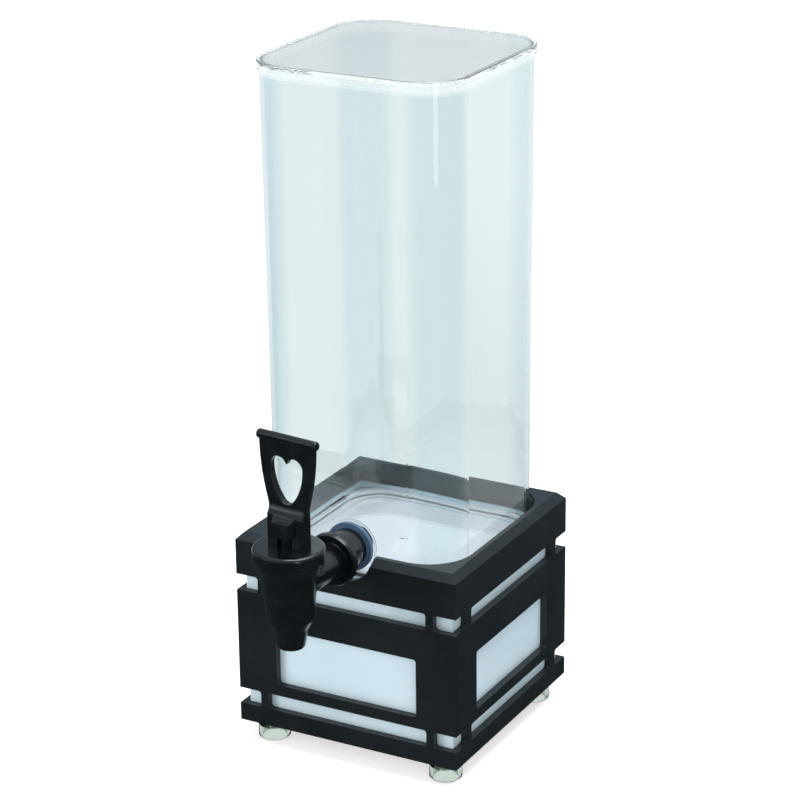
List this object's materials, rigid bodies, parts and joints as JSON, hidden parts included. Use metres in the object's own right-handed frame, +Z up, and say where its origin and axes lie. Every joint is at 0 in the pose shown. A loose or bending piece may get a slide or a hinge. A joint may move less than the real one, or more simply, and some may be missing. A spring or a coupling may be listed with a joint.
{
  "type": "countertop drink tower dispenser",
  "caption": "Clear square drink tower with a lid, standing in a black open-sided base on cup feet, with a lever tap on a long shank in front.",
  "frame": {"origin": "centre of the base frame's lower edge, 18 mm above the surface that the feet stand on", "axes": "+Z up, the tap faces -Y, +X is to the right of someone who faces the tap from the front"},
  "size_m": [0.2, 0.3104, 0.57],
  "materials": {
    "frame_black": "satin",
    "liner_white": "satin, translucent white",
    "inner_white": "satin",
    "foot_clear": "clear moulded plastic, polished",
    "screw_steel": "zinc plated",
    "tower_clear": "clear moulded plastic, polished",
    "lid_clear": "clear moulded plastic, polished",
    "tap_black": "moulded gloss",
    "silicone_blue": "translucent pale silicone",
    "cup_silicone": "matte silicone",
    "spring_steel": "drawn wire"
  },
  "bodies": {
    "base": {"front_panel": "frame_black", "back_panel": "frame_black", "left_panel": "frame_black", "right_panel": "frame_black", "top_plate": "frame_black", "front_liner": "liner_white", "back_liner": "liner_white", "left_liner": "liner_white", "right_liner": "liner_white", "bottom_plate": "inner_white", "corner_posts": "inner_white", "tower_shelf": "inner_white", "clear_feet": "foot_clear", "foot_screws": "screw_steel"},
    "container": {"container": "tower_clear", "outer_washer": "silicone_blue", "spacer_sleeve": "tap_black", "tap_collar": "tap_black", "inner_washer": "silicone_blue", "shank_nut": "tap_black", "tap_body": "tap_black", "bonnet": "tap_black", "stem_seal": "silicone_blue", "spring_washer": "spring_steel", "closing_spring": "spring_steel"},
    "lid": {"lid": "lid_clear"},
    "stem": {"stem": "tap_black", "seat_cup": "cup_silicone", "handle_pin": "tap_black"},
    "handle": {"handle": "tap_black"}
  },
  "joints": [
    {"name": "container_lift", "type": "slide", "parent": "base", "child": "container", "axis": [0, 0, 1], "range_m": [0, 0.05]},
    {"name": "lid_lift", "type": "slide", "parent": "container", "child": "lid", "axis": [0, 0, 1], "range_m": [0, 0.03]},
    {"name": "stem_slide", "type": "slide", "parent": "container", "child": "stem", "axis": [0, 0, 1], "range_m": [0, 0.0036], "deforming": ["closing_spring"]},
    {"name": "handle_tilt", "type": "hinge", "parent": "stem", "child": "handle", "pos_m": [0, -0.18195, 0.2146], "axis": [0.9936, -0.1132, 0], "range_deg": [0, 40], "stiffness_Nm_per_rad": 0.25}
  ],
  "couplings": [
    {"joint": "stem_slide", "follows": "handle_tilt", "m_per_rad": 0.005}
  ]
}
